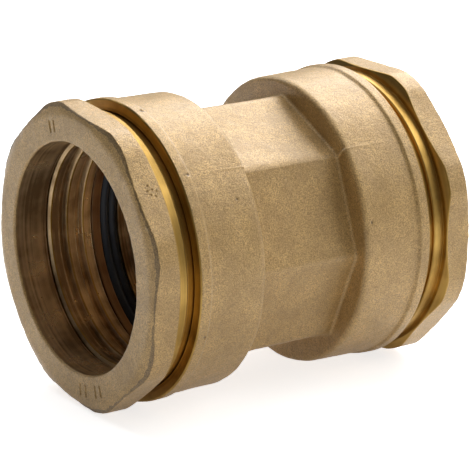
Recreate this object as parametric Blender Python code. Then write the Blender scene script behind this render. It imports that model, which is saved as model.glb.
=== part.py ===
"""Push-fit coupling for two 63 mm plastic pipes: a cast brass body with a screwed nut, a split grip
ring, a thrust washer and a lip seal at each end.

The pipe axis is X.  Every piece is a ring, so each one is drawn as a section and carried round the
axis.  A section is a list of points (out, radius): "out" is the distance from the middle of the body
towards the pipe mouth.  All lengths are in millimetres until the mesh is made.
"""

import math

import bmesh
import bpy

MM = 0.001

# Driving dimensions
PIPE_RADIUS = 31.5          # outside of the pipe
STOP_OUT = 16.0             # where the pipe meets its stop
MOUTH_OUT = 37.7            # turned end face of the body
NUT_STAND = 14.0            # how far a nut stands out of the body when it is screwed home
THREAD_LEAD = 3.0
FAR_NUT_TURNED_OUT = 0.9    # the far nut stands this much further out than the near one
FIT_GAP = 0.3               # air left between pieces that touch or slide
EDGE = 0.4                  # small chamfer on turned and moulded edges

# Chamber for seal and washer, from the seal outwards
SEAL_OUT = STOP_OUT + 4.6
SEAL_LENGTH = 3.0
SEAL_SLEEVE = 2.4           # the seal's thin sleeve reaches this far further in
SEAL_SLEEVE_WALL = 3.0      # the sleeve's pocket is this much smaller than the chamber
SEAL_LIPS = 2
LIP_RADIUS = PIPE_RADIUS - 0.5  # the lips press on the pipe
LIP_HEIGHT = 1.2
CHAMBER_RADIUS = PIPE_RADIUS + 5.7
WASHER_OUT = SEAL_OUT + SEAL_LENGTH + FIT_GAP
WASHER_LENGTH = 2.7
BORE_RADIUS = PIPE_RADIUS + 0.5

# Screw thread between nut and body
NUT_CREST_RADIUS = PIPE_RADIUS + 6.75
THREAD_DEPTH = 0.9
THREAD_CREST = 0.65         # flat width of a ridge
THREAD_FLANK = 0.6          # width of a sloping side
THREAD_RUNOUT = 1.2         # the ridge fades in over this length
PLAIN_MOUTH = 1.0           # plain bore and neck outside the thread

# Outside of the body
SHOULDER_OUT = STOP_OUT + 0.3   # inner end of the round socket
BAND_LENGTH = 3.5
BAND_RADIUS = NUT_CREST_RADIUS + 3.65
SOCKET_RADIUS = BAND_RADIUS - 1.0
SOCKET_DRAFT = 0.3          # how much wider the socket is at the band
SHOULDER_ROUND = 2.2
FILLET_SHARE = 0.6          # of the step from the middle up to the shoulder's rounding
WATERWAY_RADIUS = PIPE_RADIUS - 4.0
MIDDLE_APOTHEM = BORE_RADIUS + 1.9
MIDDLE_CORNER_DEG = 2.0     # one corner of the octagonal middle, as an angle round the axis

# Nut
NUT_OUT = MOUTH_OUT + NUT_STAND
COLLAR_RADIUS = NUT_CREST_RADIUS + 1.05
COLLAR_LENGTH = 3.2
COLLAR_STAND = 2.3          # between the collar and the body when the nut is home
HEAD_LENGTH = NUT_STAND - COLLAR_LENGTH - COLLAR_STAND
HEAD_APOTHEM = COLLAR_RADIUS + 1.45
HEAD_CORNER_RADIUS = 1.0454 * HEAD_APOTHEM   # the corners are rounded off
FRONT_FACE_RADIUS = HEAD_APOTHEM - 1.55      # where the chamfer cones meet the faces
BACK_FACE_RADIUS = HEAD_APOTHEM - 0.35
FRONT_CHAMFER_DEG = 21.0
BACK_CHAMFER_DEG = 28.0
BORE_CHAMFER = 0.6
BORE_LENGTH = 10.1                           # plain bore in front of the grip ring
CONE_BACK_RADIUS = PIPE_RADIUS + 4.4         # inside cone that closes the grip ring
CONE_FRONT_RADIUS = PIPE_RADIUS + 2.7
CONE_BACK_OUT = WASHER_OUT + WASHER_LENGTH + FIT_GAP
CONE_FRONT_OUT = NUT_OUT - BORE_LENGTH
NEAR_NUT_CORNER_DEG = 75.0
FAR_NUT_CORNER_DEG = 67.5

# Grip ring
TOOTH_COUNT = 3
TOOTH_RADIUS = PIPE_RADIUS - 0.1
GROOVE_RADIUS = PIPE_RADIUS + 1.2
LAND_SHARE = 0.5            # of the tooth pitch
SIDE_SHARE = 0.135
SPLIT_DEG = 12.0
SPLIT_AT_DEG = 170.0

SIDES = 56                  # facets round the body and the nuts
SMALL_SIDES = 44            # facets round the pieces inside
ROUND_STEPS = 3             # straight pieces in each quarter round
SHARP_DEG = 28.0            # edges sharper than this stay crisp

CAST_BRASS = ("cast_brass", (0.55, 0.40, 0.20, 1.0), 0.45)
TURNED_BRASS = ("turned_brass", (0.72, 0.50, 0.20, 1.0), 0.25)
RED_BRASS = ("red_brass", (0.50, 0.27, 0.15, 1.0), 0.35)
RUBBER = ("black_rubber", (0.012, 0.015, 0.02, 1.0), 0.6)


def clamp(value, low, high):
    return max(low, min(high, value))


def at(value, degrees):
    """A plain number, or a function of the angle round the axis."""
    return value(degrees) if callable(value) else value


def octagon(apothem, corner_deg, corner_radius=1e9):
    """Radius of an octagon's outline as a function of the angle, cut off at corner_radius."""
    def radius(degrees):
        from_flat = (degrees - corner_deg) % 45.0 - 22.5
        return min(apothem / math.cos(math.radians(from_flat)), corner_radius)
    return radius


def quarter(steps):
    """Angles in radians from 0 to a right angle."""
    return [math.pi / 2 * step / steps for step in range(steps + 1)]


def thread(low, high, base, depth):
    """Section points of a helical ridge between two stations, as functions of the angle."""
    side = THREAD_CREST / 2 + THREAD_FLANK
    ridge = [(-side, 0.0), (-THREAD_CREST / 2, 1.0), (THREAD_CREST / 2, 1.0), (side, 0.0)]
    first = math.floor(low / THREAD_LEAD) - 2
    last = math.ceil(high / THREAD_LEAD) + 1
    # The ridges of the body stand half a lead away from those of the nut.
    offset = 0.0 if depth > 0 else THREAD_LEAD / 2

    def point(turn, shift, height):
        def station(degrees):
            return clamp(THREAD_LEAD * (turn + degrees / 360) + offset + shift, low, high)

        def radius(degrees):
            out = station(degrees)
            fade = clamp(min(out - low, high - out) / THREAD_RUNOUT, 0, 1)
            return base + depth * height * fade
        return station, radius

    return [point(turn, shift, height) for turn in range(first, last) for shift, height in ridge]


def material(kind):
    name, colour, roughness = kind
    found = bpy.data.materials.get(name)
    if found:
        return found
    made = bpy.data.materials.new(name)
    made.use_nodes = True
    shader = made.node_tree.nodes["Principled BSDF"]
    shader.inputs["Base Color"].default_value = colour
    shader.inputs["Metallic"].default_value = 0.0 if kind is RUBBER else 1.0
    shader.inputs["Roughness"].default_value = roughness
    return made


def turned(name, section, kind, sides, start_deg=0.0, sweep_deg=360.0):
    """Carries a closed section round the axis.  A sweep under 360 leaves a split with two flat ends."""
    shape = bmesh.new()
    steps = sides if sweep_deg >= 360 else round(sides * sweep_deg / 360)

    def column(step):
        degrees = start_deg + sweep_deg * step / steps
        angle = math.radians(degrees)
        points = []
        for out, radius in section:
            r = at(radius, degrees)
            points.append((at(out, degrees) * MM, r * math.cos(angle) * MM, r * math.sin(angle) * MM))
        return [shape.verts.new(point) for point in points]

    columns = [column(step) for step in range(steps + 1)]
    count = len(section)
    for left, right in zip(columns, columns[1:]):
        for k in range(count):
            after = (k + 1) % count
            shape.faces.new((left[k], right[k], right[after], left[after]))
    if sweep_deg < 360:
        shape.faces.new(columns[0])
        shape.faces.new(columns[-1])
    bmesh.ops.remove_doubles(shape, verts=shape.verts, dist=0.001 * MM)
    bmesh.ops.recalc_face_normals(shape, faces=shape.faces)
    mesh = bpy.data.meshes.new(name)
    shape.to_mesh(mesh)
    shape.free()
    mesh.materials.append(material(kind))
    made = bpy.data.objects.new(name, mesh)
    bpy.context.scene.collection.objects.link(made)
    mesh.shade_smooth()
    mesh.set_sharp_from_angle(angle=math.radians(SHARP_DEG))
    return made


def place(piece, end):
    """Puts a piece drawn about the middle of the body at the near end (-1) or the far end (+1)."""
    for vertex in piece.data.vertices:
        x, y, z = vertex.co
        vertex.co = (end * x, end * y, z)
    return piece


def end_angle(world_deg, end):
    """The angle in a piece's own drawing that lands at world_deg once it is placed."""
    return world_deg if end > 0 else 180.0 - world_deg


def body_outside(end):
    """From the middle out to the mouth, on the outside."""
    middle = octagon(MIDDLE_APOTHEM, end_angle(MIDDLE_CORNER_DEG, end))
    round_start = SOCKET_RADIUS - SHOULDER_ROUND

    def fillet(angle):
        # The fillet is wide on the flats and narrow at the corners, so it never reaches the rounding.
        def size(degrees):
            return FILLET_SHARE * (round_start - middle(degrees))

        def out(degrees):
            return SHOULDER_OUT - size(degrees) * (1 - math.sin(angle))

        def radius(degrees):
            return middle(degrees) + size(degrees) * (1 - math.cos(angle))
        return out, radius

    def rounding(angle):
        return (
            SHOULDER_OUT + SHOULDER_ROUND * (1 - math.cos(angle)),
            round_start + SHOULDER_ROUND * math.sin(angle),
        )

    step_out = MOUTH_OUT - BAND_LENGTH
    points = [fillet(angle) for angle in quarter(ROUND_STEPS)]
    points += [rounding(angle) for angle in quarter(ROUND_STEPS)]
    points += [
        (step_out - EDGE, SOCKET_RADIUS + SOCKET_DRAFT),
        (step_out + EDGE, BAND_RADIUS),
        (MOUTH_OUT - EDGE, BAND_RADIUS),
        (MOUTH_OUT, BAND_RADIUS - EDGE),
    ]
    return points


def body_inside():
    """From the mouth back to the waterway, on the inside."""
    root = NUT_CREST_RADIUS + FIT_GAP
    relief_out = WASHER_OUT + WASHER_LENGTH + EDGE / 4
    seat_out = SEAL_OUT - FIT_GAP
    pocket_radius = CHAMBER_RADIUS - SEAL_SLEEVE_WALL
    pocket_out = SEAL_OUT - SEAL_SLEEVE - FIT_GAP
    points = [(MOUTH_OUT, root + EDGE / 4), (MOUTH_OUT - EDGE, root)]
    points += reversed(thread(relief_out + EDGE, MOUTH_OUT - PLAIN_MOUTH, root, -THREAD_DEPTH))
    points += [
        (relief_out, root),
        (relief_out, CHAMBER_RADIUS),
        (seat_out, CHAMBER_RADIUS),
        (seat_out, pocket_radius),
        (pocket_out, pocket_radius),
        (pocket_out, BORE_RADIUS),
        (STOP_OUT, BORE_RADIUS),
        (STOP_OUT, WATERWAY_RADIUS + 2 * EDGE),
        (STOP_OUT - 2 * EDGE, WATERWAY_RADIUS),
    ]
    return points


def mirrored(points):
    """The same half section at the near end: the body is turned half way round the vertical."""
    def flip(out, radius):
        return (lambda degrees: -at(out, 180.0 - degrees)), (lambda degrees: at(radius, 180.0 - degrees))
    return [flip(out, radius) for out, radius in reversed(points)]


def build_body():
    far_half = body_outside(1) + body_inside()
    near_half = body_outside(-1) + body_inside()
    return turned("body", far_half + mirrored(near_half), CAST_BRASS, SIDES, MIDDLE_CORNER_DEG)


def build_nut(name, end, turned_out, corner_deg):
    flats = octagon(HEAD_APOTHEM, end_angle(corner_deg, end), HEAD_CORNER_RADIUS)
    front = NUT_OUT + turned_out
    back = front - HEAD_LENGTH
    collar_end = back - COLLAR_LENGTH
    neck_end = MOUTH_OUT - PLAIN_MOUTH + turned_out
    tail = CONE_BACK_OUT + turned_out
    cone_front = CONE_FRONT_OUT + turned_out
    thread_root = NUT_CREST_RADIUS - THREAD_DEPTH

    def chamfered(face, face_radius, chamfer_deg):
        # Where the chamfer cone leaves each flat: deepest at the corners.
        def out(degrees):
            return face + math.tan(math.radians(chamfer_deg)) * (flats(degrees) - face_radius)
        return out, flats

    section = [
        (front, BORE_RADIUS + BORE_CHAMFER),
        (front, FRONT_FACE_RADIUS),
        chamfered(front, FRONT_FACE_RADIUS, -FRONT_CHAMFER_DEG),
        chamfered(back, BACK_FACE_RADIUS, BACK_CHAMFER_DEG),
        (back, BACK_FACE_RADIUS),
        (back, COLLAR_RADIUS),
        (collar_end + EDGE, COLLAR_RADIUS),
        (collar_end, COLLAR_RADIUS - EDGE),
        (collar_end, NUT_CREST_RADIUS),
        (neck_end, NUT_CREST_RADIUS),
        (neck_end - EDGE, thread_root),
    ]
    section += reversed(thread(tail + 2 * EDGE, neck_end - EDGE, thread_root, THREAD_DEPTH))
    section += [
        (tail, thread_root - 2 * EDGE),
        (tail, CONE_BACK_RADIUS),
        (cone_front, CONE_FRONT_RADIUS),
        (cone_front, BORE_RADIUS),
        (front - BORE_CHAMFER, BORE_RADIUS),
    ]
    made = turned(name, section, CAST_BRASS, SIDES, end_angle(corner_deg, end))
    return place(made, end)


def build_grip_ring(name, end, turned_out):
    front = CONE_FRONT_OUT - 2 * FIT_GAP + turned_out
    back = CONE_BACK_OUT + EDGE / 4 + turned_out
    pitch = (front - back - EDGE) / (TOOTH_COUNT - 1 + LAND_SHARE + SIDE_SHARE)
    land = LAND_SHARE * pitch
    side = SIDE_SHARE * pitch
    slope = (CONE_BACK_RADIUS - CONE_FRONT_RADIUS) / (CONE_FRONT_OUT - CONE_BACK_OUT)

    def outside(out):
        # One gap inside the nut's cone
        return CONE_FRONT_RADIUS + slope * (CONE_FRONT_OUT + turned_out - out) - FIT_GAP

    section = [
        (back, outside(back)),
        (front - EDGE, outside(front)),
        (front, outside(front) - EDGE),
        (front, GROOVE_RADIUS - EDGE),
    ]
    for tooth in range(TOOTH_COUNT):
        tip = front - side - tooth * pitch
        if tooth:
            section.append((tip + side, GROOVE_RADIUS))
        section.append((tip, TOOTH_RADIUS))
        section.append((tip - land, TOOTH_RADIUS + EDGE / 4))
        if tooth < TOOTH_COUNT - 1:
            section.append((tip - land - side, GROOVE_RADIUS))
    section.append((back, TOOTH_RADIUS + EDGE))
    start = end_angle(SPLIT_AT_DEG, end) + SPLIT_DEG / 2
    return place(turned(name, section, TURNED_BRASS, SMALL_SIDES, start, 360.0 - SPLIT_DEG), end)


def build_washer(name, end):
    front = WASHER_OUT + WASHER_LENGTH
    outer = CHAMBER_RADIUS - FIT_GAP
    inner = BORE_RADIUS - EDGE / 4
    section = [
        (WASHER_OUT, outer - EDGE), (WASHER_OUT + EDGE, outer),
        (front - EDGE, outer), (front, outer - EDGE),
        (front, inner + EDGE), (front - EDGE, inner), (WASHER_OUT, inner),
    ]
    return place(turned(name, section, RED_BRASS, SMALL_SIDES), end)


def build_seal(name, end):
    front = SEAL_OUT + SEAL_LENGTH
    back = SEAL_OUT - SEAL_SLEEVE
    outer = CHAMBER_RADIUS - FIT_GAP
    sleeve = outer - SEAL_SLEEVE_WALL
    pitch = (front - back) / SEAL_LIPS
    root = LIP_RADIUS + LIP_HEIGHT
    section = [
        (SEAL_OUT, outer - EDGE), (SEAL_OUT + EDGE, outer), (front - EDGE, outer), (front, outer - EDGE),
    ]
    for lip in range(SEAL_LIPS):
        crest = front - (lip + 0.5) * pitch
        section.append((crest + pitch / 2, root))
        section.append((crest + pitch / 5, LIP_RADIUS + LIP_HEIGHT / 3))
        section.append((crest, LIP_RADIUS))
        section.append((crest - pitch / 5, LIP_RADIUS + LIP_HEIGHT / 3))
    section += [(back, root), (back, sleeve - EDGE), (back + EDGE, sleeve), (SEAL_OUT, sleeve)]
    return place(turned(name, section, RUBBER, SMALL_SIDES), end)


for old in list(bpy.data.objects):
    bpy.data.objects.remove(old, do_unlink=True)

build_body()
for side_name, side, out, corner in (
    ("near", -1, 0.0, NEAR_NUT_CORNER_DEG),
    ("far", 1, FAR_NUT_TURNED_OUT, FAR_NUT_CORNER_DEG),
):
    build_nut(side_name + "_nut", side, out, corner)
    build_grip_ring(side_name + "_grip_ring", side, out)
    build_washer(side_name + "_washer", side)
    build_seal(side_name + "_seal", side)
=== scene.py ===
# %% [markdown]
# # A push-fit pipe coupling in cast and turned brass
# This coupling joins two plastic water pipes.  A brass body is cast in sand, blasted, and then turned on
# a lathe at both mouths.  A brass nut with eight flats screws into each mouth.  Behind the nut sit a
# split grip ring with three teeth, a thrust washer and a rubber lip seal.
#
# Every piece is a ring round the pipe axis, which is the X axis.  The working model gives the sizes; here
# each ring is made again as a fine mesh, with rounded edges and a surface that looks like the real metal.

import math
from collections import namedtuple

import bmesh
import bpy
import numpy as np
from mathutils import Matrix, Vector, noise


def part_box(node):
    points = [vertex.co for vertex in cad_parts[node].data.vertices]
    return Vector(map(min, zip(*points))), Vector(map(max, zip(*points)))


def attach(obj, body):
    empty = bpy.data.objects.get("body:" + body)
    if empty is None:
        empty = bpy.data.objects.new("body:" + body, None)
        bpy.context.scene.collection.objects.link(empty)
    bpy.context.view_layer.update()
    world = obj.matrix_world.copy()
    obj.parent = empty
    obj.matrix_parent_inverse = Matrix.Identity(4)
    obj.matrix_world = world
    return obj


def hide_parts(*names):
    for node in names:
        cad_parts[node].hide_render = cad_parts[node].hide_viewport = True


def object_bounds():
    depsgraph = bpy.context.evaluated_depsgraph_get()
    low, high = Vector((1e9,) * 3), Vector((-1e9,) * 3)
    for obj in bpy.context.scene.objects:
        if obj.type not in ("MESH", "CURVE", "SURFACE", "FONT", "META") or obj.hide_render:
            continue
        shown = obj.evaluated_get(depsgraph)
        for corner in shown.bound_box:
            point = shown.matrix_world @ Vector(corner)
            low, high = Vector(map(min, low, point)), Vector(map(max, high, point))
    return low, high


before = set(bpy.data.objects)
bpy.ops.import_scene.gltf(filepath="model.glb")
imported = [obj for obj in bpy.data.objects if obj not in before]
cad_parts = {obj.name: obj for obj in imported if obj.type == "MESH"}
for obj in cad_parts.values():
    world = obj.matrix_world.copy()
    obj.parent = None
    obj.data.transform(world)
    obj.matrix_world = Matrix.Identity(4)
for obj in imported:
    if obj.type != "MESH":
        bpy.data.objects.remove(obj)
cad_box = [list(corner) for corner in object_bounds()]
MM = 0.001
print("working model:", ", ".join(sorted(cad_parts)))

# %% [markdown]
# ## The camera
# The camera looks down a little at the near mouth, so that the teeth of the grip ring show inside it.
# A long lens from most of a metre away keeps the two ends nearly the same size.  The camera is aimed by
# two angles and a distance, because those are easy to picture: walk round, climb a little, step back.

# %% Aim the camera
AIM = Vector((0.40, -0.86, -1.64)) * MM
WALK_ROUND_DEG = 33.94      # from straight in front of the pipe axis towards the near mouth
CLIMB_DEG = 16.57
CAMERA_DISTANCE = 0.727
LENS_MM = 199.0


def direction(walk_deg, climb_deg):
    """From the object towards a place that far round and that high."""
    walk = math.radians(walk_deg)
    climb = math.radians(climb_deg)
    return Vector((-math.sin(walk) * math.cos(climb), -math.cos(walk) * math.cos(climb), math.sin(climb)))


def look_from(thing, walk_deg, climb_deg, distance, target=AIM):
    """Puts a camera or a lamp at that place and turns it to the target."""
    towards = direction(walk_deg, climb_deg)
    thing.location = target + towards * distance
    thing.rotation_euler = towards.to_track_quat("Z", "Y").to_euler()


camera = bpy.data.objects.new("camera", bpy.data.cameras.new("camera"))
camera.data.lens = LENS_MM
camera.data.sensor_width = 36.0
bpy.context.scene.collection.objects.link(camera)
look_from(camera, WALK_ROUND_DEG, CLIMB_DEG, CAMERA_DISTANCE)
bpy.context.scene.camera = camera
print("camera at", [round(value / MM, 1) for value in camera.location], "mm")

# %% [markdown]
# ## Sections
# A ring is a section carried round the axis.  The section is a list of corners, and each corner says how
# far out along the axis it is, its radius, how much it is rounded, and the finish of the stretch that
# follows.  Real turned edges are broken by a tenth or two of a millimetre, and it is those small
# rounds that catch the light, so no corner is left perfectly sharp.
#
# "Out" is measured from the middle of the body towards the mouth, so one section serves both ends.

# %% Corners and how they are rounded
# BORE_LIGHT_AND_SHADE is the turned metal again, with colours that paint the light and shade deep inside.
# TRIM_AND_SHADE is a dark copy of the cast finish: partly rough trimmed metal, partly painted shade in
# undercuts and dents.
CAST, TURNED, TRIM_AND_SHADE, BORE_LIGHT_AND_SHADE = range(4)
EDGE_ROUND = 0.12
Corner = namedtuple("Corner", "out radius round arc steps finish", defaults=(EDGE_ROUND, 3, 1, TURNED))


MOST_OF_STRETCH = 0.48      # a round stops just short of the middle of its stretch


def toward(here, other, distance):
    """A point on the way from here to other, never past the middle of that stretch."""
    away = other - here
    length = away.length
    if length < 1e-9:
        return here.copy()
    return here + away * min(distance / length, MOST_OF_STRETCH)


def rounded_section(corners):
    """Points (out, radius, finish) of a closed section with each corner rounded."""
    spots = [Vector((corner.out, corner.radius)) for corner in corners]
    arcs = []
    for index, corner in enumerate(corners):
        here = spots[index]
        enter = toward(here, spots[index - 1], corner.round)
        leave = toward(here, spots[(index + 1) % len(spots)], corner.round)
        if corner.arc:
            shares = [step / corner.arc for step in range(corner.arc + 1)]
            arcs.append([enter.lerp(here, t).lerp(here.lerp(leave, t), t) for t in shares])
        else:
            arcs.append([here])
    points = []
    for index, corner in enumerate(corners):
        arc = arcs[index]
        points += [(spot.x, spot.y, corner.finish) for spot in arc]
        following = arcs[(index + 1) % len(arcs)][0]
        for step in range(1, corner.steps):
            spot = arc[-1].lerp(following, step / corner.steps)
            points.append((spot.x, spot.y, corner.finish))
    return points


# %% [markdown]
# Carrying the section round is plain mesh code: one column of points for each angle, and a band of
# four-sided faces between neighbouring columns.  A Screw modifier could do it for a plain ring, but the
# nuts have flats and the threads climb, so here the section may change with the angle.

# %% Carry a section round the axis
WELD_DISTANCE = 0.001 * MM


def even_angles(columns, start_deg=0.0, sweep_deg=360.0):
    """Angles for a whole ring, or for a split one when the sweep is less than 360."""
    last = columns if sweep_deg >= 360.0 else columns + 1
    return [start_deg + sweep_deg * step / columns for step in range(last)]


def ring_points(section_at, angles, end):
    """The points of every column, and the finish of each stretch along a column."""
    points = []
    for degrees in angles:
        section = rounded_section(section_at(degrees))
        across = math.cos(math.radians(degrees))
        up = math.sin(math.radians(degrees))
        points += [(end * out * MM, end * r * across * MM, r * up * MM) for out, r, finish in section]
    return points, [finish for out, r, finish in section]


def ring_faces(finishes, bands, whole):
    """Faces between the columns, the two end faces of a split ring, and the finish of each face."""
    count = len(finishes)
    faces = []
    for column in range(bands):
        left = column * count
        right = left + count
        for k in range(count):
            after = (k + 1) % count
            faces.append((left + k, right + k, right + after, left + after))
    slots = finishes * bands
    if not whole:
        faces.append(tuple(range(count)))
        faces.append(tuple(range(bands * count, (bands + 1) * count)))
        slots += [finishes[0], finishes[0]]
    return faces, slots


def carry_round(name, section_at, materials, angles, end=1, whole=True):
    """Makes a ring.  end is 1 at the far mouth and -1 at the near one, where the ring faces the other way.

    A whole ring ends with its first angle once more, a full turn on.  A thread has moved one lead along by
    then, and welding the two copies of that section joins each ridge to the next one.
    """
    if whole:
        angles = angles + [angles[0] + 360.0]
    points, finishes = ring_points(section_at, angles, end)
    faces, slots = ring_faces(finishes, len(angles) - 1, whole)
    mesh = bpy.data.meshes.new(name)
    mesh.from_pydata(points, [], faces)
    mesh.polygons.foreach_set("material_index", slots)
    for finish in materials:
        mesh.materials.append(finish)
    shape = bmesh.new()
    shape.from_mesh(mesh)
    bmesh.ops.remove_doubles(shape, verts=shape.verts, dist=WELD_DISTANCE)
    bmesh.ops.recalc_face_normals(shape, faces=shape.faces)
    shape.to_mesh(mesh)
    shape.free()
    made = bpy.data.objects.new(name, mesh)
    bpy.context.scene.collection.objects.link(made)
    print(f"{name}: {len(mesh.vertices)} points, {len(mesh.polygons)} faces")
    return made


SHARP_ANGLE_DEG = 40


def shade(piece):
    """Smooth shading that keeps crisp edges and flat faces flat."""
    piece.data.shade_smooth()
    piece.data.set_sharp_from_angle(angle=math.radians(SHARP_ANGLE_DEG))
    even = piece.modifiers.new("even_shading", "WEIGHTED_NORMAL")
    even.keep_sharp = True


# %% [markdown]
# ## Node helper
# Each finish is a small network of shader nodes.  Writing them by hand is long, so one helper makes a
# node and fills its inputs: a plain value is set on the socket, and another node's output is linked.

# %% A short way to write shader nodes
def node(tree, kind, inputs=(), **settings):
    made = tree.nodes.new("ShaderNode" + kind)
    for name, value in settings.items():
        setattr(made, name, value)
    for name, value in dict(inputs).items():
        socket = made.inputs[name]
        if isinstance(value, bpy.types.NodeSocket):
            tree.links.new(value, socket)
        else:
            socket.default_value = value
    return made


def fresh_material(name):
    made = bpy.data.materials.new(name)
    made.use_nodes = True
    return made, made.node_tree, made.node_tree.nodes["Principled BSDF"]


def grain(tree, where, size_mm, detail=2.0, roughness=0.5):
    """Even mottling whose spots are about size_mm across, from 0 to 1."""
    return node(tree, "TexNoise", {
        "Vector": where, "Scale": 1.0 / (size_mm * MM), "Detail": detail, "Roughness": roughness,
    }).outputs["Fac"]


def spread(tree, value, low, high, from_low=0.3, from_high=0.7):
    """Stretches the useful part of a pattern to run from low to high."""
    return node(tree, "MapRange", {
        "Value": value, "From Min": from_low, "From Max": from_high, "To Min": low, "To Max": high,
    }).outputs["Result"]


def math_node(tree, operation, first, second):
    return node(tree, "Math", {0: first, 1: second}, operation=operation).outputs[0]


# %% [markdown]
# ## Cast and blasted brass
# Sand leaves a fine, even grain in the metal, and shot blasting dulls it to a soft sheen.  The colour
# drifts a little over centimetres, and tiny pits hold darker oxide.  Three grains of different sizes
# are laid over each other: the finest gives the sparkle, the middle one the skin, the widest the drift.

# %% Cast brass
# Colour of the convex edges: partly rubbed brass, partly a painted highlight along the edges.
RUBBED_BRASS_AND_GLINT = (0.86, 0.66, 0.38)


def colours(tree, share, dark, light):
    """A colour between dark and light.  Either may be three numbers or another colour socket."""
    mix = tree.nodes.new("ShaderNodeMix")
    mix.data_type = "RGBA"
    slots = [socket for socket in mix.inputs if socket.type == "RGBA"]
    for socket, colour in zip(slots, (dark, light)):
        if isinstance(colour, bpy.types.NodeSocket):
            tree.links.new(colour, socket)
        else:
            socket.default_value = (*colour, 1.0)
    tree.links.new(share, mix.inputs["Factor"])
    return [socket for socket in mix.outputs if socket.type == "RGBA"][0]


def cast_brass(name, dark, light, metal=0.6):
    made, tree, shader = fresh_material(name)
    where = node(tree, "TexCoord").outputs["Object"]
    fine = grain(tree, where, 0.36, detail=3.0, roughness=0.65)
    skin = grain(tree, where, 1.3, detail=3.0)
    drift = grain(tree, where, 8.0, detail=5.0)
    pits = node(tree, "TexVoronoi", {"Vector": where, "Scale": 1.0 / (1.6 * MM)}).outputs["Distance"]

    base = colours(tree, spread(tree, fine, 0.0, 1.0, 0.36, 0.64), dark, light)
    stain = colours(tree, spread(tree, drift, 0.0, 0.55), base, dark)
    oxide = tuple(0.4 * part for part in dark)
    pitted = colours(tree, spread(tree, pits, 0.6, 0.0, 0.05, 0.15), stain, oxide)
    # Convex edges are lightened by Pointiness: partly rubbed wear, partly a painted highlight.
    corner = node(tree, "NewGeometry").outputs["Pointiness"]
    edges = spread(tree, corner, 0.0, 0.8, 0.55, 0.66)
    rubbed_and_glint = math_node(tree, "MULTIPLY", edges, spread(tree, skin, 0.0, 1.0))
    worn_and_glinting = colours(tree, rubbed_and_glint, pitted, RUBBED_BRASS_AND_GLINT)
    tree.links.new(worn_and_glinting, shader.inputs["Base Color"])
    tree.links.new(spread(tree, skin, 0.42, 0.62), shader.inputs["Roughness"])
    shader.inputs["Metallic"].default_value = metal
    shader.inputs["Coat Weight"].default_value = 1.0
    shader.inputs["Coat Roughness"].default_value = 0.45

    height = math_node(tree, "ADD", fine, math_node(tree, "MULTIPLY", skin, 1.2))
    bump = node(tree, "Bump", {"Height": height, "Distance": 0.26 * MM, "Strength": 1.0})
    tree.links.new(bump.outputs["Normal"], shader.inputs["Normal"])
    return made


cast = cast_brass("cast_skin", dark=(0.33, 0.20, 0.062), light=(0.78, 0.51, 0.195))
# Dark copy of the cast skin: partly rough trimmed metal, partly painted shade in the crumbled undercut and
# in dents.
trimmed_edge_and_shade = cast_brass("trimmed_edge_and_painted_shade", dark=(0.15, 0.09, 0.035), light=(0.46, 0.30, 0.115))
print("cast finishes:", cast.name, trimmed_edge_and_shade.name)

# %% [markdown]
# ## Turned brass
# A lathe tool leaves rings so fine that you feel them with a nail.  They stretch every reflection across
# the rings, which is what makes turned metal glow in bands.  The ring pattern depends only on the place
# along the axis and the radius, so it runs truly round the piece, and the anisotropic shader does the rest.

# %% Turned brass and the rings that the tool leaves
def ring_place(tree):
    """A coordinate that is the same all the way round: along the axis and out from it."""
    where = node(tree, "TexCoord").outputs["Object"]
    parts = node(tree, "SeparateXYZ", {"Vector": where}).outputs
    across_squared = math_node(tree, "POWER", parts["Y"], 2.0)
    up_squared = math_node(tree, "POWER", parts["Z"], 2.0)
    squared = math_node(tree, "ADD", across_squared, up_squared)
    radius = node(tree, "Math", {0: squared}, operation="SQRT").outputs[0]
    rings = node(tree, "CombineXYZ", {"X": parts["X"], "Y": radius}).outputs["Vector"]
    return where, rings


def turned_metal(name, dark, light, roughness, metal=1.0):
    made, tree, shader = fresh_material(name)
    where, rings = ring_place(tree)
    tool_marks = grain(tree, rings, 0.45, detail=3.0, roughness=0.7)
    film = grain(tree, where, 9.0, detail=4.0)
    bands = grain(tree, rings, 1.1, detail=2.0)
    patchy = math_node(tree, "ADD", film, bands)
    base = colours(tree, spread(tree, patchy, 0.0, 1.0, 0.84, 1.16), light, dark)
    tree.links.new(base, shader.inputs["Base Color"])
    shader.inputs["Metallic"].default_value = metal
    shader.inputs["Anisotropic"].default_value = 0.6
    spin = node(tree, "Tangent", direction_type="RADIAL", axis="X")
    tree.links.new(spin.outputs["Tangent"], shader.inputs["Tangent"])
    tree.links.new(spread(tree, film, roughness - 0.05, roughness + 0.08), shader.inputs["Roughness"])
    bump = node(tree, "Bump", {"Height": tool_marks, "Distance": 0.05 * MM, "Strength": 0.6})
    tree.links.new(bump.outputs["Normal"], shader.inputs["Normal"])
    return made


turned = turned_metal("lathe_brass", (0.38, 0.23, 0.06), (0.58, 0.36, 0.10), 0.38)
# A copy of the turned brass for the deep inside: its colours paint the light and shade there, on the same
# turned metal.
bore_brass_light_and_shade = turned_metal("bore_brass_light_and_shade", (0.30, 0.19, 0.09), (0.76, 0.55, 0.31), 0.30, metal=0.75)
red_brass = turned_metal("red_lathe_brass", (0.20, 0.11, 0.055), (0.32, 0.19, 0.10), 0.36, metal=0.8)
print("turned finishes:", turned.name, bore_brass_light_and_shade.name, red_brass.name)

# %% [markdown]
# ## Rubber
# The seal is moulded black rubber.  Black rubber is never quite black: it has a soft, faintly blue sheen
# and a fine flow texture.

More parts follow.
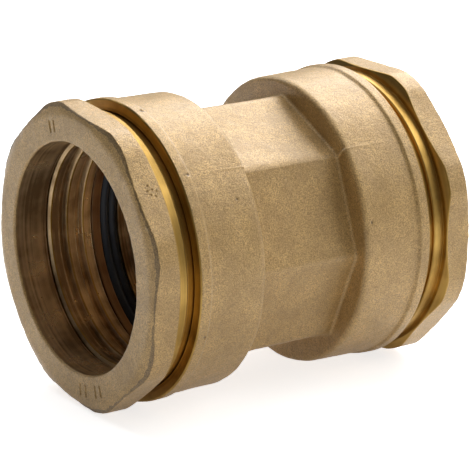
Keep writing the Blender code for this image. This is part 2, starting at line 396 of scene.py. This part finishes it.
# %% Moulded rubber
def moulded_rubber(name):
    made, tree, shader = fresh_material(name)
    where, rings = ring_place(tree)
    flow = grain(tree, rings, 0.7, detail=2.0)
    bloom = grain(tree, where, 6.0, detail=3.0)
    base = colours(tree, spread(tree, bloom, 0.0, 1.0), (0.014, 0.019, 0.030), (0.028, 0.036, 0.050))
    tree.links.new(base, shader.inputs["Base Color"])
    tree.links.new(spread(tree, flow, 0.42, 0.62), shader.inputs["Roughness"])
    bump = node(tree, "Bump", {"Height": flow, "Distance": 0.06 * MM, "Strength": 0.4})
    tree.links.new(bump.outputs["Normal"], shader.inputs["Normal"])
    return made


rubber = moulded_rubber("seal_rubber")
BRASS_FINISHES = [cast, turned, trimmed_edge_and_shade, bore_brass_light_and_shade]

# %% [markdown]
# ## Screw threads
# The nut's thread and the body's thread share one lead, and the body's ridges stand half a lead away from
# the nut's, so the two never touch.  A ridge is four corners whose place along the axis grows with the
# angle.  At both ends of the thread the ridge fades into the plain metal, as a real thread runs out.

# %% Thread corners at one angle
PIPE_RADIUS = 31.5
THREAD_LEAD = 3.0
THREAD_DEPTH = 0.9
THREAD_CREST = 0.65
THREAD_FLANK = 0.6
THREAD_RUNOUT = 1.2
PLAIN_MOUTH = 1.0
NUT_CREST_RADIUS = PIPE_RADIUS + 6.75
FIT_GAP = 0.3


def clamp(value, low, high):
    return max(low, min(high, value))


def thread(degrees, low, high, base, depth):
    """Corners of the ridges between two stations, from the inner end outwards."""
    side = THREAD_CREST / 2 + THREAD_FLANK
    ridge = [(-side, 0.0), (-THREAD_CREST / 2, 1.0), (THREAD_CREST / 2, 1.0), (side, 0.0)]
    offset = 0.0 if depth > 0 else THREAD_LEAD / 2
    corners = []
    for turn in range(math.floor(low / THREAD_LEAD) - 3, math.ceil(high / THREAD_LEAD) + 3):
        for shift, height in ridge:
            out = clamp(THREAD_LEAD * (turn + degrees / 360) + offset + shift, low, high)
            fade = clamp(min(out - low, high - out) / THREAD_RUNOUT, 0, 1)
            corners.append(Corner(out, base + depth * height * fade, 0.1, 1))
    return corners


# %% [markdown]
# ## Outlines with eight flats
# The middle of the body and both nut heads have eight flats.  Adding up the distances to the eight flats
# with a high power gives an octagon whose corners are softly rounded, and one more term, a circle, trims
# those corners as a lathe does before the flats are milled.

# %% An octagon with soft corners
FLATS = 8


def octagon(degrees, apothem, softness, trim_radius=None):
    """Radius of the outline.  A flat faces 0 degrees."""
    total = 0.0
    for flat in range(FLATS):
        reach = math.cos(math.radians(degrees - 360.0 * flat / FLATS)) / apothem
        if reach > 0:
            total += reach ** softness
    if trim_radius:
        total += trim_radius ** -softness
    return total ** (-1.0 / softness)


# %% [markdown]
# ## The body
# Outside, the body is as cast: eight soft flats in the middle, a rounded shoulder up to each round socket,
# and a raised band at the mouth.  Only the end faces and the inside are turned.  The sand mould also
# leaves a gentle waviness, which is made by moving the points of the cast skin along their normals.

# %% Section of the body
MOUTH_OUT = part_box("body")[1].x / MM
BAND_RADIUS = NUT_CREST_RADIUS + 3.65
STOP_OUT = 16.0
BAND_LENGTH = 3.5
STEP_OUT = MOUTH_OUT - BAND_LENGTH
SOCKET_RADIUS = BAND_RADIUS - 1.0
SOCKET_DRAFT = 0.3
MOUTH_CHAMFER = 0.4
SHOULDER_OUT = STOP_OUT + 0.3
SHOULDER_ROUND = 1.7
BORE_RADIUS = PIPE_RADIUS + 0.5
MIDDLE_APOTHEM = BORE_RADIUS + 1.9
MIDDLE_CORNER_DEG = 2.0
WATERWAY_RADIUS = PIPE_RADIUS - 4.0
CHAMBER_RADIUS = PIPE_RADIUS + 5.7
SEAL_OUT = STOP_OUT + 4.6
SEAL_LENGTH = 3.0
SEAL_SLEEVE = 2.4
SEAL_SLEEVE_WALL = 3.0
WASHER_OUT = SEAL_OUT + SEAL_LENGTH + FIT_GAP
WASHER_LENGTH = 2.7
MIDDLE_SOFTNESS = 90
MIDDLE_FILLET = 1.0
MIDDLE_ROWS = 38            # rows of points along the middle, so that it can be wavy
SEAM_DEGREES = (138.0, 318.0)
SEAM_HALF_WIDTH_DEG = 0.4
SEAM_ON_MIDDLE = 0.05       # how far the seam stands up on each stretch
SEAM_ON_SHOULDER = 0.3
SEAM_ON_SOCKET = 0.1


def seam_rise(world_deg):
    """How much of the mould's parting seam there is at this angle, from 0 to 1."""
    away = min(abs((world_deg - seam + 180.0) % 360.0 - 180.0) for seam in SEAM_DEGREES)
    return math.exp(-(away / SEAM_HALF_WIDTH_DEG) ** 2)


def body_half(own_deg, corner_deg, seam):
    """Corners from the middle out to the mouth, and back inside to the waterway."""
    middle = octagon(own_deg - corner_deg - 180.0 / FLATS, MIDDLE_APOTHEM, MIDDLE_SOFTNESS)
    middle += SEAM_ON_MIDDLE * seam
    shoulder_out = SHOULDER_OUT - SEAM_ON_SHOULDER * seam
    root = NUT_CREST_RADIUS + FIT_GAP
    relief_out = WASHER_OUT + WASHER_LENGTH + 0.1
    seat_out = SEAL_OUT - FIT_GAP
    pocket_radius = CHAMBER_RADIUS - SEAL_SLEEVE_WALL
    pocket_out = SEAL_OUT - SEAL_SLEEVE - FIT_GAP
    outside = [
        Corner(shoulder_out, middle, MIDDLE_FILLET, 5, 4, CAST),
        Corner(shoulder_out, SOCKET_RADIUS + SEAM_ON_SOCKET * seam, SHOULDER_ROUND, 8, 20, CAST),
        Corner(STEP_OUT - 0.4, SOCKET_RADIUS + SOCKET_DRAFT, 0.3, 2, 1, CAST),
        Corner(STEP_OUT + 0.3, BAND_RADIUS, 0.35, 3, 4, CAST),
        Corner(MOUTH_OUT - MOUTH_CHAMFER, BAND_RADIUS, 0.1, 2, 1, TURNED),
        Corner(MOUTH_OUT, BAND_RADIUS - MOUTH_CHAMFER, 0.1, 2, 3, TURNED),
    ]
    bore = [Corner(MOUTH_OUT, root + 0.1, 0.1, 2), Corner(MOUTH_OUT - 0.4, root)]
    bore += reversed(thread(own_deg, relief_out + 0.4, MOUTH_OUT - PLAIN_MOUTH, root, -THREAD_DEPTH))
    bore += [
        Corner(relief_out, root),
        Corner(relief_out, CHAMBER_RADIUS),
        Corner(seat_out, CHAMBER_RADIUS),
        Corner(seat_out, pocket_radius),
        # The pocket and the bore up to the stop take the copy whose colours paint the light and shade
        # inside.
        Corner(pocket_out, pocket_radius, finish=BORE_LIGHT_AND_SHADE),
        Corner(pocket_out, BORE_RADIUS, finish=BORE_LIGHT_AND_SHADE),
        Corner(STOP_OUT, BORE_RADIUS, finish=BORE_LIGHT_AND_SHADE),
        Corner(STOP_OUT, WATERWAY_RADIUS, 0.9, 4, 16, CAST),
    ]
    return outside + bore


def facing_near(corners):
    """The same corners at the near end, in the opposite order, with each stretch keeping its finish."""
    flipped = []
    for index in range(len(corners) - 1, 0, -1):
        stretch = corners[index - 1]
        flipped.append(corners[index]._replace(
            out=-corners[index].out, finish=stretch.finish, steps=stretch.steps,
        ))
    flipped.append(corners[0]._replace(out=-corners[0].out, finish=CAST, steps=MIDDLE_ROWS))
    return flipped


def body_section(degrees):
    seam = seam_rise(degrees)
    far_half = body_half(degrees, MIDDLE_CORNER_DEG, seam)
    near_half = body_half(180.0 - degrees, 180.0 - MIDDLE_CORNER_DEG, seam)
    return far_half + facing_near(near_half)


COLUMNS = 360
SEAM_STEPS_DEG = (0.2, 0.45, 0.7)       # extra columns, because a seam is thinner than a column is wide
seam_columns = [seam + side * step for seam in SEAM_DEGREES for side in (-1, 1) for step in SEAM_STEPS_DEG]
body_angles = sorted({round(angle, 3) for angle in even_angles(COLUMNS) + seam_columns})
body = carry_round("body_casting", body_section, BRASS_FINISHES, body_angles)

# %% [markdown]
# ## Waviness of a casting
# Only points that lie wholly inside the cast skin move.  The turned faces and their edges stay true, so
# the turned rings are round and the threads still fit.

# %% Make a cast skin wavy
def make_wavy(piece, waves):
    """Moves cast points along their normals.  waves is a list of (size of a wave, height) in millimetres."""
    shape = bmesh.new()
    shape.from_mesh(piece.data)
    shape.normal_update()
    shifts = {}
    for vertex in shape.verts:
        if all(face.material_index in (CAST, TRIM_AND_SHADE) for face in vertex.link_faces):
            rise = sum(height * noise.noise(vertex.co / (size * MM)) for size, height in waves)
            shifts[vertex] = vertex.normal * rise * MM
    for vertex, shift in shifts.items():
        vertex.co += shift
    shape.to_mesh(piece.data)
    shape.free()
    print(f"{piece.name}: {len(shifts)} cast points moved")


# %% [markdown]
# ## Punch marks, nicks and pits
# Small dents need more points than the rest of the skin has.  So the faces near a dent are cut finer
# first, and then the points inside it sink.  A dent is a short line with a width: a line of no length makes
# a round pit, and a longer one makes a punched stroke.

# %% Sink dents into a skin
Dent = namedtuple("Dent", "start finish inward width depth")
FINER_CUTS = 5
CUT_MARGIN = 1.2            # faces whose middle is this near a dent are cut finer
PAINTED_SHADE_SHARE = 0.75           # the part of a dent's width that is darkened as painted shade


def from_line(spot, dent):
    """Distance in millimetres from the dent's centre line."""
    along = dent.finish - dent.start
    share = 0.0
    if along.length > 1e-9:
        share = clamp((spot - dent.start).dot(along) / along.length_squared, 0.0, 1.0)
    return (spot - dent.start - along * share).length


def close_to(spots, dents, margin):
    """The numbers of those spots that lie within the margin of any dent."""
    spots = np.array(spots) / MM
    close = np.zeros(len(spots), bool)
    for dent in dents:
        middle = np.array((dent.start + dent.finish) / 2)
        reach = (dent.finish - dent.start).length / 2 + dent.width + margin
        close |= np.linalg.norm(spots - middle, axis=1) < reach
    return [int(index) for index in np.nonzero(close)[0]]


def press(piece, dents):
    """Sinks each dent, and gives its bottom the dark trimmed finish as painted shade in the hollow."""
    if not dents:
        return
    mesh = piece.data
    shape = bmesh.new()
    shape.from_mesh(mesh)
    faces = list(shape.faces)
    centres = [face.calc_center_median() for face in faces]
    chosen = [faces[index] for index in close_to(centres, dents, CUT_MARGIN)]
    edges = list({edge for face in chosen for edge in face.edges})
    bmesh.ops.subdivide_edges(shape, edges=edges, cuts=FINER_CUTS, use_grid_fill=True)
    vertices = list(shape.verts)
    points = [vertices[index] for index in close_to([vertex.co for vertex in vertices], dents, 0.0)]
    for vertex in points:
        for dent in dents:
            share = from_line(vertex.co / MM, dent) / dent.width
            if share < 1.0:
                vertex.co += dent.inward * (dent.depth * (1.0 - share ** 2) * MM)
    # Faces near the middle of a dent are darkened: painted shade in the hollow.
    for face in {face for vertex in points for face in vertex.link_faces}:
        centre = face.calc_center_median() / MM
        if any(from_line(centre, dent) < PAINTED_SHADE_SHARE * dent.width for dent in dents):
            face.material_index = TRIM_AND_SHADE
    shape.to_mesh(mesh)
    shape.free()
    print(f"{piece.name}: {len(dents)} dents")


def round_axis(out, degrees, radius):
    """A point given by its place along the axis, its angle and its radius, in millimetres."""
    angle = math.radians(degrees)
    return Vector((out, radius * math.cos(angle), radius * math.sin(angle)))


def pit(out, degrees, radius, width, depth):
    """A round pit sunk towards the axis."""
    centre = round_axis(out, degrees, radius)
    return Dent(centre, centre, -round_axis(0.0, degrees, 1.0), width, depth)


# %% Nicks on the body's bands
press(body, [
    pit(-STEP_OUT - 0.9, 103.0, BAND_RADIUS, 0.9, 0.35),
    pit(-STEP_OUT - 0.5, 138.0, BAND_RADIUS, 0.7, 0.30),
    pit(-STEP_OUT - 0.8, -160.0, BAND_RADIUS, 0.6, 0.30),
    pit(-SHOULDER_OUT - 6.0, 150.0, SOCKET_RADIUS, 0.5, 0.20),
    pit(SHOULDER_OUT + 2.4, 168.0, SOCKET_RADIUS, 0.5, 0.25),
    pit(STEP_OUT + 1.0, 40.0, BAND_RADIUS, 0.6, 0.25),
    pit(6.0, -20.0, MIDDLE_APOTHEM + 0.1, 0.6, 0.25),
])

# %% Waves on the body, and its place in the model
CAST_WAVES = [(9.0, 0.14), (3.0, 0.07), (1.4, 0.04)]
make_wavy(body, CAST_WAVES)
shade(body)
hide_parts("body")
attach(body, "body")

# %% [markdown]
# ## The nuts
# The head of a nut has eight cast flats.  Its front face and the cone that trims its corners are rough, and
# the edge between cone and flats is ragged, because the sand crumbles there.  The collar behind the head,
# the neck, the thread and the bore are turned bright.

# %% Section of a nut
NUT_STAND = 14.0
NUT_OUT = MOUTH_OUT + NUT_STAND
COLLAR_RADIUS = NUT_CREST_RADIUS + 1.05
COLLAR_LENGTH = 3.2
COLLAR_CHAMFER = 0.35
HEAD_LENGTH = NUT_STAND - COLLAR_LENGTH - 2.3
HEAD_APOTHEM = COLLAR_RADIUS + 1.45
HEAD_TRIM_RADIUS = 1.0454 * HEAD_APOTHEM
HEAD_SOFTNESS = 170
FRONT_FACE_RADIUS = HEAD_APOTHEM - 1.55
BACK_FACE_RADIUS = HEAD_APOTHEM - 0.35
CONE_BACK_RADIUS = PIPE_RADIUS + 4.4
CONE_FRONT_RADIUS = PIPE_RADIUS + 2.7
CONE_BACK_OUT = WASHER_OUT + WASHER_LENGTH + FIT_GAP
CONE_FRONT_OUT = NUT_OUT - 10.1
BORE_CHAMFER = 0.4
FRONT_TRIM_SLOPE = 0.384    # depth of the front cone for each millimetre of radius
BACK_TRIM_SLOPE = 0.53
LEAST_CRUMBLE = 0.12
MOST_CRUMBLE = 0.8          # as a share of the cone's height
RAGGED_SIZE = 1.6           # length of one uneven stretch
RAGGED_RADIUS = 40.0        # radius at which that length is meant


def ragged(degrees, seed):
    """Uneven edge of a casting, from about -1 to 1, as the angle goes round."""
    arc = RAGGED_RADIUS / RAGGED_SIZE
    angle = math.radians(degrees)
    spot = Vector((arc * math.cos(angle), arc * math.sin(angle), seed))
    return noise.noise(spot) + 0.5 * noise.noise(spot * 2.3)


def nut_section(own_deg, turned_out, corner_deg, seed):
    flats = octagon(own_deg - corner_deg - 180.0 / FLATS, HEAD_APOTHEM, HEAD_SOFTNESS, HEAD_TRIM_RADIUS)
    front = NUT_OUT + turned_out
    back = front - HEAD_LENGTH
    collar_end = back - COLLAR_LENGTH
    neck_end = MOUTH_OUT - PLAIN_MOUTH + turned_out
    tail = CONE_BACK_OUT + turned_out
    cone_front = CONE_FRONT_OUT + turned_out
    root = NUT_CREST_RADIUS - THREAD_DEPTH
    cone_height = flats - FRONT_FACE_RADIUS
    trim_depth = FRONT_TRIM_SLOPE * cone_height
    crumble = 0.35 + 0.4 * (flats - HEAD_APOTHEM) + 0.45 * ragged(own_deg, seed)
    crumble = clamp(crumble, LEAST_CRUMBLE, MOST_CRUMBLE * cone_height)
    crumbled_depth = trim_depth - FRONT_TRIM_SLOPE * crumble + 0.05
    lip_depth = trim_depth + 0.25 + 0.2 * ragged(own_deg, seed + 5)
    back_depth = BACK_TRIM_SLOPE * (flats - BACK_FACE_RADIUS)
    section = [
        Corner(front, BORE_RADIUS + BORE_CHAMFER, 0.25, 3, 9, CAST),
        Corner(front, FRONT_FACE_RADIUS, 1.1, 5, 1, CAST),
        # The crumbled strip takes the dark finish: rough metal, and painted shade in the undercut.
        Corner(front - crumbled_depth, flats - crumble, 0.15, 2, 1, TRIM_AND_SHADE),
        Corner(front - lip_depth, flats, 0.12, 2, 9, CAST),
        Corner(back + back_depth, flats, 0.18, 3, 1, TURNED),
        Corner(back, BACK_FACE_RADIUS),
        Corner(back, COLLAR_RADIUS),
        Corner(collar_end + COLLAR_CHAMFER, COLLAR_RADIUS, 0.08, 2),
        Corner(collar_end, COLLAR_RADIUS - COLLAR_CHAMFER, 0.08, 2),
        Corner(collar_end, NUT_CREST_RADIUS),
        Corner(neck_end, NUT_CREST_RADIUS),
        Corner(neck_end - 0.4, root),
    ]
    section += reversed(thread(own_deg, tail + 0.8, neck_end - 0.4, root, THREAD_DEPTH))
    section += [
        Corner(tail, root - 0.8),
        Corner(tail, CONE_BACK_RADIUS),
        # The nut's inner cone and bore take the copy whose colours paint the light and shade inside.
        Corner(cone_front, CONE_FRONT_RADIUS, finish=BORE_LIGHT_AND_SHADE),
        Corner(cone_front, BORE_RADIUS, finish=BORE_LIGHT_AND_SHADE),
        Corner(front - BORE_CHAMFER, BORE_RADIUS, 0.2, 3, 1, CAST),
    ]
    return section


def own_angle(world_deg, end):
    """The angle in a ring's own section that lands at world_deg."""
    return world_deg if end > 0 else 180.0 - world_deg


def make_nut(name, node_name, end, turned_out, corner_deg, seed, marks):
    corner = own_angle(corner_deg, end)

    def section(degrees):
        return nut_section(degrees, turned_out, corner, seed)

    nut = carry_round(name, section, BRASS_FINISHES, even_angles(COLUMNS), end)
    press(nut, marks)
    make_wavy(nut, CAST_WAVES)
    shade(nut)
    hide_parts(node_name)
    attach(nut, node_name)


# %% [markdown]
# The front face of the near nut carries two small groups of punched strokes, and the far nut's face one.
# They are plain counting strokes, the kind a fitter makes with a chisel, and they say nothing.

# %% Punched strokes and casting pits on the nuts
FAR_TURNED_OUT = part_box("far_nut")[1].x / MM - NUT_OUT
STROKE_WIDTH = 0.42
STROKE_DEPTH = 0.35
CASTING_PITS = [(47.6, 141.0), (46.9, 142.6), (46.1, 140.6), (45.6, 143.4), (47.0, 139.0), (44.9, 141.6)]


def stroke(face_out, degrees, from_radius, to_radius):
    """A stroke on a nut's front face, along the radius."""
    start = round_axis(face_out, degrees, from_radius)
    finish = round_axis(face_out, degrees, to_radius)
    inward = Vector((-math.copysign(1.0, face_out), 0.0, 0.0))
    return Dent(start, finish, inward, STROKE_WIDTH, STROKE_DEPTH)


near_marks = [stroke(-NUT_OUT, degrees, 34.9, 37.6) for degrees in (72.6, 76.2)]
near_marks += [stroke(-NUT_OUT, degrees, 35.0, 37.8) for degrees in (-94.5, -99.0, -107.0, -111.5)]
near_marks += [pit(-out, degrees, HEAD_APOTHEM + 0.1, 0.42, 0.3) for out, degrees in CASTING_PITS]
far_marks = [stroke(NUT_OUT + FAR_TURNED_OUT, degrees, 35.0, 37.8) for degrees in (84.0, 88.5, 93.0)]

# %% Make both nuts
NEAR_CORNER_DEG = 75.0      # where one corner of each head stands
FAR_CORNER_DEG = 67.5
make_nut("near_nut_casting", "near_nut", -1, 0.0, NEAR_CORNER_DEG, 3.0, near_marks)
make_nut("far_nut_casting", "far_nut", 1, FAR_TURNED_OUT, FAR_CORNER_DEG, 11.0, far_marks)
print("far nut is turned out", round(FAR_TURNED_OUT, 2), "mm")

# %% [markdown]
# ## The grip rings
# A grip ring is a turned brass ring, split once so that it can close.  Outside it is a cone that matches
# the nut's, and inside it has three saw teeth.  Each tooth has a sharp edge towards the mouth, a
# flat land behind it, and then a groove.

# %% Section of a grip ring
TOOTH_COUNT = 3
TOOTH_RADIUS = PIPE_RADIUS - 0.1
GROOVE_RADIUS = PIPE_RADIUS + 1.2
LAND_SHARE = 0.5
SIDE_SHARE = 0.135
SPLIT_DEG = 12.0
SPLIT_AT_DEG = 170.0
PAINTED_EDGE_HIGHLIGHT = 0.40          # width of each tooth's edge left in the lathe finish, a painted highlight line against the bore finish behind it


def grip_ring_section(turned_out):
    front = CONE_FRONT_OUT - 2 * FIT_GAP + turned_out
    back = CONE_BACK_OUT + 0.1 + turned_out
    pitch = (front - back - 0.4) / (TOOTH_COUNT - 1 + LAND_SHARE + SIDE_SHARE)
    land = LAND_SHARE * pitch
    side = SIDE_SHARE * pitch
    slope = (CONE_BACK_RADIUS - CONE_FRONT_RADIUS) / (CONE_FRONT_OUT - CONE_BACK_OUT)

    def outside(out):
        return CONE_FRONT_RADIUS + slope * (CONE_FRONT_OUT + turned_out - out) - FIT_GAP

    corners = [
        Corner(back, outside(back)),
        Corner(front, outside(front), 0.35),
        Corner(front, GROOVE_RADIUS - 0.4, finish=BORE_LIGHT_AND_SHADE),
    ]
    for tooth in range(TOOTH_COUNT):
        tip = front - side - tooth * pitch
        if tooth:
            corners.append(Corner(tip + side, GROOVE_RADIUS, finish=BORE_LIGHT_AND_SHADE))
        corners.append(Corner(tip, TOOTH_RADIUS, 0.1))
        # The edge keeps the lathe finish and the land behind it takes the bore finish: a painted highlight
        # line along each tooth.
        corners.append(Corner(tip - PAINTED_EDGE_HIGHLIGHT, TOOTH_RADIUS, 0.0, 0, finish=BORE_LIGHT_AND_SHADE))
        corners.append(Corner(tip - land, TOOTH_RADIUS + 0.1, finish=BORE_LIGHT_AND_SHADE))
        if tooth < TOOTH_COUNT - 1:
            corners.append(Corner(tip - land - side, GROOVE_RADIUS, finish=BORE_LIGHT_AND_SHADE))
    corners.append(Corner(back, TOOTH_RADIUS + 0.4))
    return corners


INNER_COLUMNS = 240


def make_grip_ring(name, node_name, body_name, end, turned_out):
    corners = grip_ring_section(turned_out)
    start = own_angle(SPLIT_AT_DEG, end) + SPLIT_DEG / 2
    angles = even_angles(INNER_COLUMNS, start, 360.0 - SPLIT_DEG)
    ring = carry_round(name, lambda degrees: corners, BRASS_FINISHES, angles, end, whole=False)
    shade(ring)
    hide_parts(node_name)
    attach(ring, body_name)


make_grip_ring("near_tooth_ring", "near_grip_ring", "near_ring", -1, 0.0)
make_grip_ring("far_tooth_ring", "far_grip_ring", "far_ring", 1, FAR_TURNED_OUT)

# %% [markdown]
# ## Thrust washers and seals
# Behind each grip ring a reddish brass washer takes the push, and behind that the rubber seal grips the
# pipe with two lips.  Both stay still in the body, so they ride on it.

# %% Washers and seals
LIP_RADIUS = PIPE_RADIUS - 0.5
LIP_HEIGHT = 1.2
SEAL_LIPS = 2


def one_finish(out, radius, rounding, arc=3):
    """A corner of a ring that has the same finish all over."""
    return Corner(out, radius, rounding, arc, 1, 0)


def washer_section():
    front = WASHER_OUT + WASHER_LENGTH
    outer = CHAMBER_RADIUS - FIT_GAP
    inner = BORE_RADIUS - 0.1
    return [
        one_finish(WASHER_OUT, outer, 0.4), one_finish(front, outer, 0.4),
        one_finish(front, inner, 0.4), one_finish(WASHER_OUT, inner, 0.1),
    ]


def seal_section():
    front = SEAL_OUT + SEAL_LENGTH
    back = SEAL_OUT - SEAL_SLEEVE
    outer = CHAMBER_RADIUS - FIT_GAP
    sleeve = outer - SEAL_SLEEVE_WALL
    pitch = (front - back) / SEAL_LIPS
    corners = [
        one_finish(SEAL_OUT, sleeve, 0.1),
        one_finish(SEAL_OUT, outer, 0.4),
        one_finish(front, outer, 0.4),
    ]
    for lip in range(SEAL_LIPS):
        crest = front - (lip + 0.5) * pitch
        corners.append(one_finish(crest + pitch / 2, LIP_RADIUS + LIP_HEIGHT, 0.25))
        corners.append(one_finish(crest, LIP_RADIUS, 0.8, arc=6))
    corners += [
        one_finish(back, LIP_RADIUS + LIP_HEIGHT, 0.2),
        one_finish(back, sleeve, 0.4),
    ]
    return corners


def make_inner_ring(name, node_name, corners, finish, end):
    ring = carry_round(name, lambda degrees: corners, [finish], even_angles(INNER_COLUMNS), end)
    shade(ring)
    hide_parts(node_name)
    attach(ring, "body")


for side, end in (("near", -1), ("far", 1)):
    make_inner_ring(side + "_thrust_ring", side + "_washer", washer_section(), red_brass, end)
    make_inner_ring(side + "_lip_seal", side + "_seal", seal_section(), rubber, end)

# %% [markdown]
# ## Floor and light
# A plain, pale floor reaches past the edge of the view.  It glows a little, as a light table does, so the
# underside of the brass isn't black.  The camera sees a stronger glow than the brass does, so the floor
# looks nearly white and its light stays soft.
#
# Seven soft boxes stand round the coupling.  The strongest is behind it, towards the far end.

# %% Floor
FLOOR_RADIUS = 4.0
FLOOR_GLOW = 0.21
FLOOR_SEEN_GLOW = 0.75


def pale_floor():
    made, tree, shader = fresh_material("pale_floor")
    where = node(tree, "TexCoord").outputs["Object"]
    cloud = grain(tree, where, 200.0, detail=2.0)
    base = colours(tree, spread(tree, cloud, 0.0, 1.0), (0.86, 0.86, 0.86), (0.90, 0.90, 0.90))
    tree.links.new(base, shader.inputs["Base Color"])
    shader.inputs["Roughness"].default_value = 0.8
    shader.inputs["Emission Color"].default_value = (1.0, 1.0, 1.0, 1.0)
    seen = node(tree, "LightPath").outputs["Is Camera Ray"]
    glow = spread(tree, seen, FLOOR_GLOW, FLOOR_SEEN_GLOW, 0.0, 1.0)
    tree.links.new(glow, shader.inputs["Emission Strength"])
    return made


floor_shape = bmesh.new()
bmesh.ops.create_circle(floor_shape, cap_ends=True, radius=FLOOR_RADIUS, segments=96)
floor_mesh = bpy.data.meshes.new("floor")
floor_shape.to_mesh(floor_mesh)
floor_shape.free()
floor_mesh.materials.append(pale_floor())
floor = bpy.data.objects.new("floor", floor_mesh)
floor.location.z = cad_box[0][2]
bpy.context.scene.collection.objects.link(floor)

# %% Lamps
WORLD_GLOW = 0.03
LAMP_DISTANCE = 1.4
world = bpy.data.worlds.new("studio")
world.use_nodes = True
backdrop = world.node_tree.nodes["Background"]
backdrop.inputs["Color"].default_value = (1.0, 1.0, 1.0, 1.0)
backdrop.inputs["Strength"].default_value = WORLD_GLOW
bpy.context.scene.world = world


def soft_box(name, walk_deg, climb_deg, width, height, power):
    lamp = bpy.data.objects.new(name, bpy.data.lights.new(name, "AREA"))
    lamp.data.shape = "RECTANGLE"
    lamp.data.size = width
    lamp.data.size_y = height
    lamp.data.energy = power
    bpy.context.scene.collection.objects.link(lamp)
    look_from(lamp, walk_deg, climb_deg, LAMP_DISTANCE)
    lamp.visible_camera = False


soft_box("key", 240.0, 42.0, 1.1, 0.9, 16.0)
soft_box("behind", 180.0, 42.0, 0.9, 0.8, 5.5)
soft_box("right_high", 300.0, 42.0, 0.9, 0.8, 5.2)
soft_box("right_low", 300.0, 12.0, 0.9, 0.8, 2.4)
soft_box("overhead", 0.0, 88.0, 1.0, 1.0, 4.4)
soft_box("front", 0.0, 42.0, 0.9, 0.8, 1.2)
soft_box("left_low", 120.0, 12.0, 0.9, 0.8, 0.3)

bpy.context.scene.view_settings.view_transform = "Standard"
